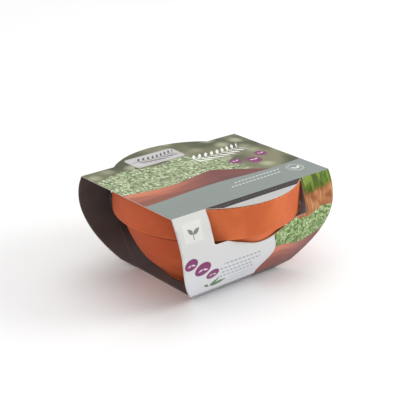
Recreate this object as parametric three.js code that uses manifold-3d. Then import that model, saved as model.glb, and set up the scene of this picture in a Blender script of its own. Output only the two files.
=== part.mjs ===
// A seed-growing kit: a round bowl held in an open-ended printed card sleeve, with a pressed
// disc of growing medium and a seed sachet lying in the bowl. Millimetres, +Z up, the sleeve's
// axis along X, its front panel towards -Y, the origin at the middle of the underside.
import * as THREE from 'three';
import { mergeVertices } from 'three/addons/utils/BufferGeometryUtils.js';
import Module from 'manifold-3d';

const wasm = await Module();
wasm.setup();

// Driving dimensions
const CARD = 0.6;             // thickness of the folded card
const GAP = 0.3;              // clearance between pieces that rest on one another
const SLEEVE_LENGTH = 180;    // along X, at the top fold
const SLEEVE_DEPTH = 128.4;   // along Y, between the top folds
const SLEEVE_HEIGHT = 94;
const BASE_LENGTH = 98.4;     // the bottom panel
const BASE_DEPTH = 81.6;
const BELLY = 3.4;            // how far the bowl presses the side panels out at mid length
const BELLY_TOP = 80;         // no belly from this height up
const END_STRAIGHT = 4;       // the ends run straight this far down from the top fold
const TAB_RADIUS = 84.15;     // round edge of the punched tabs, about the bowl's axis
const RIM_RADIUS = 84.2;
const RIM_ROUND = 1.2;        // rounding of the rim's outer edge
const STEP_HEIGHT = 64;       // underside of the rim band
const FOOT_RADIUS = 38.4;
const FOOT_RECESS = 2.5;      // the floor's underside stands this far above the foot ring
const WALL = 2.2;             // moulded wall of the bowl
const DISC = { radius: 36, height: 22, chamfer: 1.6 };
const SACHET = { length: 90, width: 70, seam: 0.8, fill: 3.2, seamWidth: 5 };

// Heights worked out from them
const RIM_TOP = SLEEVE_HEIGHT - CARD - GAP;
const FOOT_BOTTOM = CARD + GAP;
const FLOOR_HEIGHT = FOOT_BOTTOM + FOOT_RECESS + WALL;
const DISC_BASE = FLOOR_HEIGHT + GAP;
const SACHET_BASE = DISC_BASE + DISC.height + GAP;

// Half depth and height of the side panel's outer face, from the bottom crease to the top fold
const BASE_CREASE = new THREE.Vector2(50, 8);
const SIDE_BOW = [
  BASE_CREASE,
  new THREE.Vector2(61.9, 28.5),
  new THREE.Vector2(68.6, 42.8),
  new THREE.Vector2(72.6, 57),
  new THREE.Vector2(72.8, 69),
  new THREE.Vector2(69.6, 82.5),
  new THREE.Vector2(SLEEVE_DEPTH / 2, SLEEVE_HEIGHT),
];

// The window in each side panel, in half widths and heights
const WINDOW = {
  topHalfWidth: 54.6,
  cornerHalfWidth: 53.6,
  cornerCut: 1.4,
  ledgeHeight: 64.6,
};

// Its lower edge hangs between the ledges, from the right ledge's end to the middle
const WINDOW_HANG = [
  new THREE.Vector2(40, WINDOW.ledgeHeight),
  new THREE.Vector2(34, 62.4),
  new THREE.Vector2(27, 59.9),
  new THREE.Vector2(20, 57.5),
  new THREE.Vector2(13, 55),
  new THREE.Vector2(7, 53.4),
  new THREE.Vector2(0, 52.8),
];

// The lip left at each side of a window, folded inwards until its free edge rests by the rim:
// heights of its hinge and of its free edge, how far that edge stands from the bowl's axis, and
// how far the lip bows away from the rim between them
const LIP = {
  hingeLow: 63.5,
  hingeHigh: 92,
  bearing: THREE.MathUtils.degToRad(53),
  radius: 84.9,
  edgeLow: 62.4,
  edgeHigh: 84,
  toe: new THREE.Vector3(51.5, -51, 44),
  inset: 0.4,
  bow: 0.5,
};

// Moves a run of points to its left by a distance, with mitred corners
function offsetLine(points, distance, closed) {
  const count = points.length;
  return points.map((point, i) => {
    const before = points[closed ? (i + count - 1) % count : Math.max(i - 1, 0)];
    const after = points[closed ? (i + 1) % count : Math.min(i + 1, count - 1)];
    const inward = point.clone().sub(before).normalize();
    const outward = after.clone().sub(point).normalize();
    const first = inward.lengthSq() ? inward : outward;
    const second = outward.lengthSq() ? outward : inward;
    const normal = new THREE.Vector2(-first.y - second.y, first.x + second.x);
    return point.clone().addScaledVector(normal, distance / (1 + first.dot(second)));
  });
}

// A closed solid from a mesh, by its positions alone
function toSolid(geometry) {
  const bare = geometry.clone();
  bare.deleteAttribute('normal');
  bare.deleteAttribute('uv');
  const welded = mergeVertices(bare, 1e-4);
  return new wasm.Manifold(new wasm.Mesh({
    numProp: 3,
    vertProperties: new Float32Array(welded.attributes.position.array),
    triVerts: new Uint32Array(welded.index.array),
  }));
}

function toGeometry(solid) {
  const mesh = solid.getMesh();
  const geometry = new THREE.BufferGeometry();
  geometry.setAttribute('position', new THREE.BufferAttribute(mesh.vertProperties, 3));
  geometry.setIndex(new THREE.BufferAttribute(mesh.triVerts, 1));
  geometry.computeVertexNormals();
  return geometry;
}

// Turns an extrusion drawn in Y and Z so that its depth runs along X
function alongX(geometry) {
  const position = geometry.attributes.position;
  for (let i = 0; i < position.count; i += 1) {
    position.setXYZ(i, position.getZ(i), position.getX(i), position.getY(i));
  }
  return geometry;
}

// Turns an extrusion drawn in X and Z so that its depth runs along -Y
function alongFront(geometry, start) {
  const position = geometry.attributes.position;
  for (let i = 0; i < position.count; i += 1) {
    position.setXYZ(i, position.getX(i), -start - position.getZ(i), position.getY(i));
  }
  return geometry;
}

// The right half of the sleeve's section, from the bottom fold to the top fold
function sidePanelPoints() {
  const bow = new THREE.SplineCurve(SIDE_BOW).getPoints(18);
  return [new THREE.Vector2(BASE_DEPTH / 2, 0), ...bow];
}

// Index of the first point of the side panel at or above a height, and the share of the step
// below it that the height takes
function placeOnSide(side, height) {
  const above = Math.max(side.findIndex((point) => point.y >= height), 1);
  const share = (height - side[above - 1].y) / (side[above].y - side[above - 1].y);
  return { above, share };
}

// Half length of the sleeve at a height: the die-cut end of each side panel is an arc that
// starts below the top fold and meets the bottom panel's corner
function endHalfLength(side) {
  const walked = [0];
  for (let i = side.length - 1; i > 0; i -= 1) {
    walked.push(walked[walked.length - 1] + side[i].distanceTo(side[i - 1]));
  }
  const reach = walked[walked.length - 1] - END_STRAIGHT;
  const narrowing = (SLEEVE_LENGTH - BASE_LENGTH) / 2;
  const radius = (reach * reach + narrowing * narrowing) / (2 * narrowing);
  return (height) => {
    if (height <= CARD) {
      return BASE_LENGTH / 2;
    }
    const { above, share } = placeOnSide(side, height);
    const last = side.length - 1;
    const run = THREE.MathUtils.lerp(walked[last - above + 1], walked[last - above], share);
    const past = Math.max(run - END_STRAIGHT, 0);
    return SLEEVE_LENGTH / 2 - radius + Math.sqrt(radius * radius - past * past);
  };
}

// How much of the belly a height takes: none at the bottom crease, and it fades out above the
// ledges, where the window leaves the panel unpressed
function bellyShare(height) {
  const rise = (height - BASE_CREASE.y) / (SLEEVE_HEIGHT - BASE_CREASE.y);
  const fade = 1 - THREE.MathUtils.smoothstep(height, WINDOW.ledgeHeight, BELLY_TOP);
  return fade * Math.sin(Math.PI * THREE.MathUtils.clamp(rise, 0, 1));
}

function belly(height, across) {
  return BELLY * bellyShare(height) * (1 - across * across);
}

// The folded ring of card, extruded along X in steps that are then narrowed and bellied out
function sleeveRing() {
  const side = sidePanelPoints();
  const mirrored = [...side].reverse().map((point) => new THREE.Vector2(-point.x, point.y));
  const outline = [...side, ...mirrored];
  const ring = new THREE.Shape(outline);
  ring.holes.push(new THREE.Path(offsetLine(outline, CARD, true)));
  const steps = 16;
  const geometry = new THREE.ExtrudeGeometry(ring, { depth: 2, steps, bevelEnabled: false });
  alongX(geometry);
  const halfLength = endHalfLength(side);
  const position = geometry.attributes.position;
  for (let i = 0; i < position.count; i += 1) {
    const across = position.getX(i) - 1;
    const y = position.getY(i);
    const z = position.getZ(i);
    position.setXYZ(i, across * halfLength(z), y + Math.sign(y) * belly(z, across), z);
  }
  return geometry;
}

// A prism through the front panel in the outline of its window, up to the top panel's underside
function frontWindow() {
  const { topHalfWidth, cornerHalfWidth, cornerCut, ledgeHeight } = WINDOW;
  const top = SLEEVE_HEIGHT - CARD;
  const left = WINDOW_HANG.map((point) => new THREE.Vector2(-point.x, point.y));
  const right = WINDOW_HANG.slice(0, -1).reverse();
  const outline = new THREE.Shape();
  outline.moveTo(topHalfWidth, top);
  outline.lineTo(-topHalfWidth, top);
  outline.lineTo(-cornerHalfWidth, ledgeHeight + cornerCut);
  outline.lineTo(-cornerHalfWidth + cornerCut, ledgeHeight);
  new THREE.SplineCurve([...left, ...right]).getPoints(24).forEach((point) => {
    outline.lineTo(point.x, point.y);
  });
  outline.lineTo(cornerHalfWidth - cornerCut, ledgeHeight);
  outline.lineTo(cornerHalfWidth, ledgeHeight + cornerCut);
  const settings = { depth: 24, bevelEnabled: false, curveSegments: 12 };
  return alongFront(new THREE.ExtrudeGeometry(outline, settings), SLEEVE_DEPTH / 2 - 4);
}

// The punched card, a segment of a circle that stays in the plane of the top panel
function frontTab() {
  const root = SLEEVE_DEPTH / 2 - 2;
  const sweep = Math.acos(root / TAB_RADIUS);
  const outline = new THREE.Shape();
  outline.absarc(0, 0, TAB_RADIUS, -Math.PI / 2 - sweep, -Math.PI / 2 + sweep);
  const settings = { depth: CARD, bevelEnabled: false, curveSegments: 28 };
  const geometry = new THREE.ExtrudeGeometry(outline, settings);
  geometry.translate(0, 0, SLEEVE_HEIGHT - CARD);
  return geometry;
}

// Where the lip leaves the panel: just inside the window's right edge, at mid thickness
function lipHinge(side, halfLength, height) {
  const { topHalfWidth, cornerHalfWidth, cornerCut, ledgeHeight } = WINDOW;
  const low = ledgeHeight + cornerCut;
  const rise = (height - low) / (SLEEVE_HEIGHT - CARD - low);
  const x = THREE.MathUtils.lerp(cornerHalfWidth, topHalfWidth, rise) + LIP.inset;
  const { above, share } = placeOnSide(side, height);
  const depth = THREE.MathUtils.lerp(side[above - 1].x, side[above].x, share);
  return new THREE.Vector3(x, CARD / 2 - depth - belly(height, x / halfLength(height)), height);
}

// The lip's free edge follows the rim from its top down, and its toe tucks in under the rim band
function lipEdge(share) {
  const { bearing, radius, edgeLow, edgeHigh, toe } = LIP;
  const toeShare = 0.25;
  const height = THREE.MathUtils.lerp(edgeLow, edgeHigh, (share - toeShare) / (1 - toeShare));
  const point = new THREE.Vector3(radius * Math.sin(bearing), -radius * Math.cos(bearing), height);
  if (share < toeShare) {
    point.z = edgeLow;
    point.lerp(toe, 1 - share / toeShare);
  }
  return point;
}

// The lip at the right edge of the front window: straight from hinge to free edge at each height
function frontLip() {
  const side = sidePanelPoints();
  const halfLength = endHalfLength(side);
  const rows = 12;
  const columns = 4;
  const geometry = new THREE.BoxGeometry(1, CARD, 1, columns, 1, rows);
  const position = geometry.attributes.position;
  const place = (across, share) => {
    const height = THREE.MathUtils.lerp(LIP.hingeLow, LIP.hingeHigh, share);
    return lipHinge(side, halfLength, height).lerp(lipEdge(share), across);
  };
  for (let i = 0; i < position.count; i += 1) {
    const across = position.getX(i) + 0.5;
    const share = position.getZ(i) + 0.5;
    const spot = place(across, share);
    const along = place(1, share).sub(place(0, share));
    const above = place(across, Math.min(share + 0.01, 1));
    const up = above.sub(place(across, Math.max(share - 0.01, 0)));
    const normal = new THREE.Vector3().crossVectors(up, along).normalize();
    const bow = 4 * LIP.bow * across * (1 - across);
    spot.addScaledVector(normal, position.getY(i) - bow);
    position.setXYZ(i, spot.x, spot.y, spot.z);
  }
  return geometry;
}

function cardSleeve() {
  const window = toSolid(frontWindow());
  const tab = toSolid(frontTab());
  const lip = toSolid(frontLip());
  const lips = lip.add(lip.mirror([1, 0, 0]));
  const front = tab.add(lips);
  const cut = toSolid(sleeveRing()).subtract(window).subtract(window.rotate([0, 0, 180]));
  return toGeometry(cut.add(front).add(front.rotate([0, 0, 180])));
}

// Radius and height up the outer face of the bowl's wall: rounded body, step, straight rim band
function bowlWall() {
  const body = new THREE.SplineCurve([
    new THREE.Vector2(44.6, 9.2),
    new THREE.Vector2(55.8, 19.2),
    new THREE.Vector2(63, 28.8),
    new THREE.Vector2(70, 42.8),
    new THREE.Vector2(74, 53),
    new THREE.Vector2(78, STEP_HEIGHT - 0.6),
  ]).getPoints(15);
  return [
    ...body,
    new THREE.Vector2(RIM_RADIUS - 1, STEP_HEIGHT - 0.2),
    new THREE.Vector2(RIM_RADIUS - 0.3, STEP_HEIGHT + 0.5),
    new THREE.Vector2(RIM_RADIUS, RIM_TOP - RIM_ROUND),
  ];
}

// A thin moulded shell: the inside follows the outside one wall away, over a flat floor
function growingBowl() {
  const outside = bowlWall();
  const inside = offsetLine(outside, WALL, false).reverse();
  const profile = [
    new THREE.Vector2(0, FOOT_BOTTOM + FOOT_RECESS),
    new THREE.Vector2(FOOT_RADIUS - 5.4, FOOT_BOTTOM + FOOT_RECESS),
    new THREE.Vector2(FOOT_RADIUS - 4.4, FOOT_BOTTOM),
    new THREE.Vector2(FOOT_RADIUS, FOOT_BOTTOM),
    ...outside,
    new THREE.Vector2(RIM_RADIUS - 0.3 * RIM_ROUND, RIM_TOP - 0.3 * RIM_ROUND),
    new THREE.Vector2(RIM_RADIUS - RIM_ROUND, RIM_TOP),
    new THREE.Vector2(RIM_RADIUS - WALL + 0.6, RIM_TOP),
    new THREE.Vector2(RIM_RADIUS - WALL, RIM_TOP - 0.6),
    ...inside,
    new THREE.Vector2(FOOT_RADIUS, FLOOR_HEIGHT),
    new THREE.Vector2(0, FLOOR_HEIGHT),
  ];
  return new THREE.LatheGeometry(profile, 72).rotateX(Math.PI / 2);
}

// The pressed disc of growing medium, lying on the bowl's floor
function coirDisc() {
  const { radius, height, chamfer } = DISC;
  const profile = [
    new THREE.Vector2(0, 0),
    new THREE.Vector2(radius - chamfer, 0),
    new THREE.Vector2(radius, chamfer),
    new THREE.Vector2(radius, height - chamfer),
    new THREE.Vector2(radius - chamfer, height),
    new THREE.Vector2(0, height),
  ];
  return new THREE.LatheGeometry(profile, 48).rotateX(Math.PI / 2);
}

// The sachet lies flat on the disc: a paper pillow with pressed, thinner seams round its edge
function seedSachet() {
  const { length, width, seam, fill, seamWidth } = SACHET;
  const geometry = new THREE.BoxGeometry(length, width, seam, 18, 14, 1);
  geometry.translate(0, 0, seam / 2);
  const position = geometry.attributes.position;
  for (let i = 0; i < position.count; i += 1) {
    const x = position.getX(i) / (length / 2 - seamWidth);
    const y = position.getY(i) / (width / 2 - seamWidth);
    const swell = Math.max(1 - x * x, 0) * Math.max(1 - y * y, 0);
    if (position.getZ(i) > seam / 2) {
      position.setZ(i, seam + fill * Math.sqrt(swell));
    }
  }
  return geometry;
}

function finish(color, roughness) {
  return new THREE.MeshStandardMaterial({ color, roughness, metalness: 0 });
}

function piece(name, geometry, material, height = 0) {
  const mesh = new THREE.Mesh(geometry, material);
  mesh.name = name;
  mesh.position.z = height;
  return mesh;
}

const kit = new THREE.Group();
kit.add(piece('card_sleeve', cardSleeve(), finish(0xc9c9c4, 0.6)));
kit.add(piece('growing_bowl', growingBowl(), finish(0xc8643c, 0.55)));
kit.add(piece('coir_disc', coirDisc(), finish(0x5a3d28, 0.95), DISC_BASE));
kit.add(piece('seed_sachet', seedSachet(), finish(0xe6e2d6, 0.8), SACHET_BASE));

export default kit;
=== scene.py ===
import math

import bpy
import numpy as np
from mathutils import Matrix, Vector
from mathutils.geometry import delaunay_2d_cdt


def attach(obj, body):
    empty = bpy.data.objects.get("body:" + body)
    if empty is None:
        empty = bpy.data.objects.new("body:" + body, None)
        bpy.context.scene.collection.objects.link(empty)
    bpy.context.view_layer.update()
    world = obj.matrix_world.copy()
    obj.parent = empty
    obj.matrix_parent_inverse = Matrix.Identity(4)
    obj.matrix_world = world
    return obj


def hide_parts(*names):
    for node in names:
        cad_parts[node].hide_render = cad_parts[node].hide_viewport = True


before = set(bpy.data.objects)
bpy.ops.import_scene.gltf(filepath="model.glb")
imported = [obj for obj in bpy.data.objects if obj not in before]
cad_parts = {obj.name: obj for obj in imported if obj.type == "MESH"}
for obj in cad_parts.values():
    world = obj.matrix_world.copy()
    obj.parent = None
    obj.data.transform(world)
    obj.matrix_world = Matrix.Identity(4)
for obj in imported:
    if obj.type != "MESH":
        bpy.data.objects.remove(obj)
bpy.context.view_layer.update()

MM = 0.001

# Sizes of the sleeve, as in the solids
CARD = 0.6
SLEEVE_LENGTH = 180.0
SLEEVE_DEPTH = 128.4
SLEEVE_HEIGHT = 94.0
BASE_LENGTH = 98.4
BASE_DEPTH = 81.6
BELLY = 3.4
BELLY_TOP = 80.0
END_STRAIGHT = 4.0
TAB_RADIUS = 84.15
SIDE_BOW = [(50, 8), (61.9, 28.5), (68.6, 42.8), (72.6, 57), (72.8, 69), (69.6, 82.5), (64.2, 94)]
WINDOW_TOP_HALF = 54.6
WINDOW_CORNER_HALF = 53.6
WINDOW_CORNER_CUT = 1.4
LEDGE_HEIGHT = 64.6
WINDOW_HANG = [(40, 64.6), (34, 62.4), (27, 59.9), (20, 57.5), (13, 55), (7, 53.4), (0, 52.8)]
WINDOW_BOTTOM = LEDGE_HEIGHT + WINDOW_CORNER_CUT
WINDOW_TOP = SLEEVE_HEIGHT - CARD
LIP_HINGE = (63.5, 92.0)
LIP_EDGE = (62.4, 84.0)
LIP_BEARING = math.radians(53)
LIP_RADIUS = 84.9
LIP_TOE = (51.5, -51.0, 44.0)
LIP_TOE_SHARE = 0.25
LIP_INSET = 0.4
LIP_BOW = 0.5
FOLD_ROUND = 0.8
TOP_SAG = 0.5
TOP_SAG_REACH = 82.0
PANEL_WAVE = 0.15

# Where a tab stops lying flat, measured along the top fold, and where its cut starts
TAB_HELD = (54.3, 55.4)
TAB_ROOT = 54.5

# The lips' patch of the flat card's map lies past the card: its size, its first row, the border
LIP_PATCH = (24.0, 26.0)
LIP_PATCH_START = 300.0
LIP_PATCH_BORDER = 250.0

# Spacing of the flat card's points, and the room that they leave to its outline
CARD_STEP = 2.2
CARD_MARGIN = 0.75

# Sizes of the bowl; a line is turned into it at a height and with a half width
RIM_RADIUS = 84.2
RIM_TOP = 93.1
RIM_ROUNDS = (1.2, 0.8)
STEP_HEIGHT = 64.0
BAND_RADIUS = 83.85
BAND_HEIGHTS = (64.9, 91.2)
BAND_LEAN = 0.008
BAND_UNDERSIDE = ((78.3, 63.55), (83.3, 63.75))
BAND_ROUND = 0.85
BAND_LINE = (75.5, 0.7)
BAND_LINE_DEPTH = 0.22
BEAD_DEPTH = 0.25
BEAD_FADE = (65.0, 65.9)
BODY_BOW = [(44.6, 9.2), (55.8, 19.2), (63, 28.8), (70, 42.8), (74, 53), (78, 63.4)]
BODY_LINE = (60.9, 0.9)
BODY_LINE_DEPTH = 0.6
FLARE_START = (39.0, 1.75)
FOOT_BOTTOM = 0.9
FOOT_RECESS = 2.5
FOOT_RING = (34.6, 37.6)
RECESS_RADIUS = 32.6
WALL = 2.2
FLOOR_HEIGHT = 5.6
FLOOR_RADIUS = 38.0

# Sizes of the disc and the sachet. A pit has a size and a depth, a pucker lies at a distance
# from the sachet's middle and has a half width.
DISC_RADIUS = 36.0
DISC_HEIGHT = 22.0
DISC_BASE = 5.9
DISC_ROUND = 1.6
DISC_PITS = ((9, 0.10), (4, 0.09), (1.8, 0.08))
DEEPEST_PIT = 0.3
SACHET_SIZE = (90.0, 70.0)
SACHET_SEAM = 0.8
SACHET_FILL = 3.2
SACHET_SEAM_WIDTH = 5.0
SACHET_BASE = 28.2
END_PUCKER = (37, 3.5)
SIDE_PUCKER = (28, 3.0)

# Places in the print, in millimetres on the flat card: from the top panel's middle on the top,
# and down from the top fold on the sides. A row or a rule has a height, a start and an end, a
# spot has a middle and a radius, and a leaf has a root, a bearing and a length.
TOP_SEED_ROWS = ((-35.5, 2, 56), (-41.5, -6, 52))
TOP_SPOTS = (((40, 5), 6.0), ((56, -3), 7.4), ((72, 6), 6.0))
TAB_TAG = (-12, 59)
RING_MIDDLE = (70, -42)
RING_RADII = (7.9, 6.3)
RING_LEAVES = (((70, -45), 0.7, 7.6), ((70, -45), 2.3, 6.8))
SIDE_SEED_ROWS = ((55, -39, 2), (61, -41, 4), (67, -37, -2), (73, -39, 2))
SIDE_RULES = ((80, -22, 6), (85, -22, 0))
SIDE_SPOTS = (((-76, 44), 6.4), ((-62, 53), 8.0), ((-48, 64), 6.4))
SIDE_LEAVES = (((-42, 84), -0.25, 17.0), ((-43, 84), -1.05, 13.0), ((-44, 84), -2.45, 9.0))
TAG_MIDDLE = (-73, 15)
SPROUT_ROOT = (-73, 17)

# Layers of printed leaves: their spacing, the pattern's shift, the deep green and the pale one,
# and the share of places without a leaf
LEAF_LAYERS = (
    (6.0, 0.3, (84, 106, 58), (140, 164, 100), 0.1),
    (5.3, 5.1, (104, 130, 70), (172, 194, 130), 0.15),
    (4.7, 9.7, (128, 152, 90), (198, 214, 162), 0.3),
    (4.2, 14.2, (160, 182, 120), (230, 238, 206), 0.6),
)

# The camera in metres, millimetres and degrees, the middle that the lamps face in metres, and
# the floor's reach in millimetres
CAMERA_PLACE = (-0.59496, -0.70843, 0.44551)
CAMERA_LENS = 95.05
CAMERA_SENSOR = 36.0
CAMERA_DOWN = 22.755
CAMERA_TURN = -40.256
KIT_MIDDLE = Vector((0, 0, 0.05))
FLOOR_REACH = 6000.0


# Mesh work


def make_piece(name, points, faces, materials=(), uvs=None):
    """A mesh object from points in millimetres, with one UV per face corner in metres."""
    mesh = bpy.data.meshes.new(name)
    mesh.from_pydata([tuple(c * MM for c in point) for point in points], [], faces)
    if uvs is not None:
        layer = mesh.uv_layers.new(name="flat_card")
        layer.data.foreach_set("uv", np.array(uvs, float).ravel() * MM)
    for material in materials:
        mesh.materials.append(material)
    mesh.shade_smooth()
    mesh.update()
    piece = bpy.data.objects.new(name, mesh)
    bpy.context.scene.collection.objects.link(piece)
    return piece


def bow_points(corners, count):
    """The smooth curve through the corners that the solids use."""
    points = []
    last = len(corners) - 1
    for step in range(count + 1):
        place = last * step / count
        i = min(int(place), last - 1)
        w = place - i
        p = [np.array(corners[k], float) for k in (max(i - 1, 0), i, i + 1, min(i + 2, last))]
        out, into = (p[2] - p[0]) / 2, (p[3] - p[1]) / 2
        cubic = 2 * p[1] - 2 * p[2] + out + into
        square = -3 * p[1] + 3 * p[2] - 2 * out - into
        points.append(tuple(cubic * w**3 + square * w**2 + out * w + p[1]))
    return points


def walk(points):
    """How far each point lies along the line through them all."""
    steps = np.linalg.norm(np.diff(np.array(points), axis=0), axis=1)
    return np.concatenate([[0.0], np.cumsum(steps)])


def smooth(value, low, high):
    """0 at low, 1 at high, with a soft start and end."""
    share = np.clip((value - low) / (high - low), 0, 1)
    return share * share * (3 - 2 * share)


def bell(value, middle, half_width):
    """1 at the middle, falling away softly on both sides."""
    return math.exp(-(((value - middle) / half_width) ** 2))


def grid_quads(columns, rows, turned=False):
    """The faces of a grid of points that was made row by row; turned faces the other way."""
    row_step = columns + 1
    corners = (0, row_step, row_step + 1, 1) if turned else (0, 1, row_step + 1, row_step)
    return [
        tuple(row * row_step + column + corner for corner in corners)
        for row in range(rows)
        for column in range(columns)
    ]


# Node work


class Field:
    """A number that varies over a piece. Sums on it add the nodes that work it out."""

    def __init__(self, nodes, socket):
        self.nodes = nodes
        self.socket = socket

    def sum(self, operation, *others):
        node = self.nodes.add("Math", dict(enumerate((self, *others))), operation=operation)
        return Field(self.nodes, node.outputs[0])

    def __add__(self, other):
        return self.sum("ADD", other)

    def __sub__(self, other):
        return self.sum("SUBTRACT", other)

    def __rsub__(self, other):
        return -self + other

    def __mul__(self, other):
        return self.sum("MULTIPLY", other)

    def __truediv__(self, other):
        return self.sum("DIVIDE", other)

    def __neg__(self):
        return self.sum("MULTIPLY", -1.0)

    def size(self):
        return self.sum("ABSOLUTE")

    def zigzag(self, half):
        """Runs up and down between 0 and half, over and over."""
        return self.sum("PINGPONG", half)

    def wave(self, length, start=0.0):
        return self.sum("MULTIPLY_ADD", 2 * math.pi / length, start).sum("SINE")

    def least(self, other):
        return self.sum("MINIMUM", other)

    def most(self, other):
        return self.sum("MAXIMUM", other)

    def ramp(self, start, end):
        """0 at start, 1 at end, smooth between; start may be the larger."""
        inputs = {"Value": self, "From Min": start, "From Max": end}
        node = self.nodes.add("MapRange", inputs, interpolation_type="SMOOTHSTEP")
        return Field(self.nodes, node.outputs["Result"])

    def within(self, low, high, soft=0.15):
        return self.ramp(low - soft, low + soft) * self.ramp(high + soft, high - soft)


class Nodes:
    """A node tree, with short ways to add nodes and to join them."""

    def __init__(self, tree):
        self.tree = tree

    def plug(self, socket, value):
        if isinstance(value, Field):
            value = value.socket
        if isinstance(value, bpy.types.NodeSocket):
            self.tree.links.new(value, socket)
        else:
            socket.default_value = value

    def add(self, kind, inputs=None, **settings):
        """A new node. A kind that names no family is a shader node."""
        family = "" if kind.startswith(("GeometryNode", "FunctionNode")) else "ShaderNode"
        node = self.tree.nodes.new(family + kind)
        for label, value in settings.items():
            setattr(node, label, value)
        for label, value in (inputs or {}).items():
            self.plug(node.inputs[label], value)
        return node

    def split(self, vector):
        node = self.add("SeparateXYZ", {0: vector})
        return [Field(self, socket) for socket in node.outputs]

    def vector(self, x=0.0, y=0.0, z=0.0):
        return self.add("CombineXYZ", {0: x, 1: y, 2: z}).outputs[0]

    def length(self, vector):
        node = self.add("VectorMath", {0: vector}, operation="LENGTH")
        return Field(self, node.outputs["Value"])

    def noise(self, vector, scale, detail=3.0, rough=0.5):
        inputs = {"Vector": vector, "Scale": scale, "Detail": detail, "Roughness": rough}
        return Field(self, self.add("TexNoise", inputs).outputs[0])


# The folded card

SIDE = [(BASE_DEPTH / 2, 0.0)] + bow_points(SIDE_BOW, 180)
SIDE_ARC = walk(SIDE)[-1]
TOP_FOLD = SLEEVE_DEPTH / 2
BOTTOM_FOLD = TOP_FOLD + SIDE_ARC
CREASE = BOTTOM_FOLD - math.dist(SIDE[0], SIDE[1])
GLUE_SEAM = BOTTOM_FOLD + BASE_DEPTH / 2

# The folded section from the top panel's middle, over the front or back, to the bottom's middle
SECTION = [(-3.0, SLEEVE_HEIGHT)] + SIDE[::-1] + [(-3.0, 0.0)]
SECTION_ARC = walk(SECTION) - 3.0
SECTION_ROWS = np.array(SECTION)


def section_at(across):
    """Half depth and height on the card's outer face, with the folds a little rounded."""
    offsets = np.linspace(-FOLD_ROUND, FOLD_ROUND, 9)
    depth = sum(np.interp(across + o, SECTION_ARC, SECTION_ROWS[:, 0]) for o in offsets)
    height = sum(np.interp(across + o, SECTION_ARC, SECTION_ROWS[:, 1]) for o in offsets)
    return depth / len(offsets), height / len(offsets)


def half_length(across):
    """Half length of the flat card at a distance from the top panel's middle."""
    reach = SIDE_ARC - END_STRAIGHT
    narrowing = (SLEEVE_LENGTH - BASE_LENGTH) / 2
    radius = (reach**2 + narrowing**2) / (2 * narrowing)
    past = np.clip(across - TOP_FOLD - END_STRAIGHT, 0, reach)
    return SLEEVE_LENGTH / 2 - radius + np.sqrt(radius**2 - past**2)


def across_at_height(height):
    heights = np.array([z for _, z in SIDE])
    return TOP_FOLD + SIDE_ARC - np.interp(height, heights, walk(SIDE))


def belly(height, share):
    """How far the bowl presses the panel out at a height and a share of the half length."""
    rise = np.clip((height - SIDE_BOW[0][1]) / (SLEEVE_HEIGHT - SIDE_BOW[0][1]), 0, 1)
    fade = 1 - smooth(height, LEDGE_HEIGHT, BELLY_TOP)
    return BELLY * fade * np.sin(np.pi * rise) * np.maximum(1 - share**2, 0)


def fold_card(u, v):
    """Where a point of the flat card lies once the sleeve is folded up."""
    across = np.abs(v)
    side = np.sign(v)
    depth, height = section_at(across)
    length = half_length(across)
    depth = depth + belly(height, u / length)
    panel = smooth(across, TOP_FOLD, TOP_FOLD + 14) * (1 - smooth(across, CREASE - 16, CREASE))
    ripple = np.sin(0.052 * u + 1.3 * side) * np.cos(0.083 * across + 0.4) + 1
    depth = depth + PANEL_WAVE * panel * ripple
    sag = np.maximum(1 - (across / TOP_FOLD) ** 2, 0) * np.maximum(1 - (u / TOP_SAG_REACH) ** 2, 0)
    height = height - np.where(across <= TOP_FOLD, TOP_SAG * sag, 0)
    held = smooth(np.abs(u), *TAB_HELD)
    tab = (np.hypot(u, v) < TAB_RADIUS + 0.05) & (across > TOP_FOLD - 2)
    depth = np.where(tab, across + (depth - across) * held, depth)
    height = np.where(tab, SLEEVE_HEIGHT + (height - SLEEVE_HEIGHT) * held, height)
    return np.stack([u, side * depth, height], axis=-1)


def card_rows():
    """Rows across the flat card, set close together at the folds."""
    cleared = 1.9
    steps = (-1.6, -1.0, -0.5, 0, 0.5, 1.0, 1.6)
    rows = set(np.linspace(0, GLUE_SEAM, 96))
    for fold in (TOP_FOLD, CREASE, BOTTOM_FOLD):
        rows = {row for row in rows if abs(row - fold) > cleared}
        rows |= {fold + step for step in steps}
    return sorted(rows)


def window_edge(height):
    """Half the window's width at a height on its slanting sides."""
    rise = (height - WINDOW_BOTTOM) / (WINDOW_TOP - WINDOW_BOTTOM)
    return WINDOW_CORNER_HALF + (WINDOW_TOP_HALF - WINDOW_CORNER_HALF) * rise


def window_outline():
    """The window's edge on the flat card, from its lowest point, round its corner, to the top."""
    left = [(-u, height) for u, height in WINDOW_HANG]
    hang = bow_points(left + WINDOW_HANG[-2::-1], 48)[24:]
    window = [(u, float(across_at_height(height))) for u, height in hang]
    ledge = float(across_at_height(LEDGE_HEIGHT))
    for u in np.linspace(WINDOW_HANG[0][0], WINDOW_CORNER_HALF - WINDOW_CORNER_CUT, 7)[1:]:
        window.append((u, ledge))
    for height in np.linspace(WINDOW_BOTTOM, WINDOW_TOP, 16):
        window.append((window_edge(height), float(across_at_height(height))))
    return window


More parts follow.
